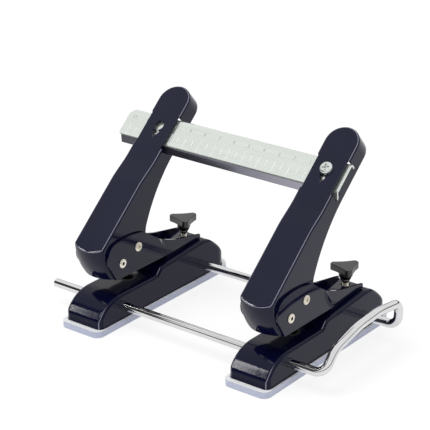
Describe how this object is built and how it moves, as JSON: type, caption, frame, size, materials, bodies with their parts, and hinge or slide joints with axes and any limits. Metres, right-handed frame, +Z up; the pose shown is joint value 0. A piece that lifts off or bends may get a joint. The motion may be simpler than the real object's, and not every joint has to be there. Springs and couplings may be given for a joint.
{
  "type": "hole punch",
  "caption": "Hole punch with sliding punch heads on a bent guide rod, long levers tied by a steel ruler, and chip trays under the bases.",
  "frame": {"origin": "middle of the overall box, on the table", "axes": "+X along the guide rod towards its bent end, +Y away from the paper throats, +Z up"},
  "size_m": [0.186, 0.122, 0.1179],
  "materials": {
    "enamel": "gloss enamel",
    "tray_plastic": "translucent",
    "black_steel": "blackened",
    "steel": "turned",
    "nickel": "bright nickel",
    "chrome": "mirror",
    "ruler_steel": "satin with engraved scale",
    "knob_plastic": "matte"
  },
  "bodies": {
    "right_head": {"right_base": "enamel", "right_chip_tray": "tray_plastic", "right_riser": "enamel", "right_bracket": "enamel", "right_bracket_rivets": "enamel", "right_die": "black_steel", "right_punch_guide": "black_steel", "right_return_spring": "steel", "right_pivot_rivet": "nickel", "right_stop_rivets": "nickel", "right_clamp_nut": "steel"},
    "right_lever": {"right_lever": "enamel", "right_drive_bar": "steel", "ruler": "ruler_steel", "ruler_screw": "nickel", "ruler_nut": "steel"},
    "right_punch": {"right_punch_pin": "steel"},
    "right_thumb_screw": {"right_clamp_screw": "nickel", "right_clamp_knob": "knob_plastic"},
    "guide_rod": {"guide_rod": "chrome"},
    "left_head": {"left_base": "enamel", "left_chip_tray": "tray_plastic", "left_riser": "enamel", "left_bracket": "enamel", "left_bracket_rivets": "enamel", "left_die": "black_steel", "left_punch_guide": "black_steel", "left_return_spring": "steel", "left_pivot_rivet": "nickel", "left_stop_rivets": "nickel", "left_clamp_nut": "steel"},
    "left_lever": {"left_lever": "enamel", "left_drive_bar": "steel"},
    "left_punch": {"left_punch_pin": "steel"},
    "left_thumb_screw": {"left_clamp_screw": "nickel", "left_clamp_knob": "knob_plastic"}
  },
  "joints": [
    {"name": "right_lever_press", "type": "hinge", "parent": "right_head", "child": "right_lever", "pos_m": [0.05625, -0.0368, 0.0363], "axis": [-1, 0, 0], "range_deg": [0, 32], "stiffness_Nm_per_rad": 0.4, "springref_deg": -34.38},
    {"name": "right_punch_travel", "type": "slide", "parent": "right_head", "child": "right_punch", "axis": [0, 0, -1], "range_m": [0, 0.0113], "deforming": ["right_return_spring"]},
    {"name": "right_thumb_screw_turn", "type": "hinge", "parent": "right_head", "child": "right_thumb_screw", "pos_m": [0.05625, 0.0319, 0], "axis": [0, 0, 1], "range_deg": [-135, 360]},
    {"name": "guide_rod_slide", "type": "slide", "parent": "right_head", "child": "guide_rod", "axis": [1, 0, 0], "range_m": [-0.015, 0.01]},
    {"name": "left_head_slide", "type": "slide", "parent": "right_head", "child": "left_head", "axis": [1, 0, 0], "range_m": [-0.008, 0.07]},
    {"name": "left_lever_press", "type": "hinge", "parent": "left_head", "child": "left_lever", "pos_m": [-0.05625, -0.0368, 0.0363], "axis": [-1, 0, 0], "range_deg": [0, 32]},
    {"name": "left_punch_travel", "type": "slide", "parent": "left_head", "child": "left_punch", "axis": [0, 0, -1], "range_m": [0, 0.0113], "deforming": ["left_return_spring"]},
    {"name": "left_thumb_screw_turn", "type": "hinge", "parent": "left_head", "child": "left_thumb_screw", "pos_m": [-0.05625, 0.0319, 0], "axis": [0, 0, 1], "range_deg": [-135, 360]}
  ],
  "couplings": [
    {"joint": "right_punch_travel", "follows": "right_lever_press", "m_per_rad": 0.020054},
    {"joint": "left_lever_press", "follows": "right_lever_press", "ratio": 1},
    {"joint": "left_punch_travel", "follows": "right_lever_press", "m_per_rad": 0.020054}
  ]
}
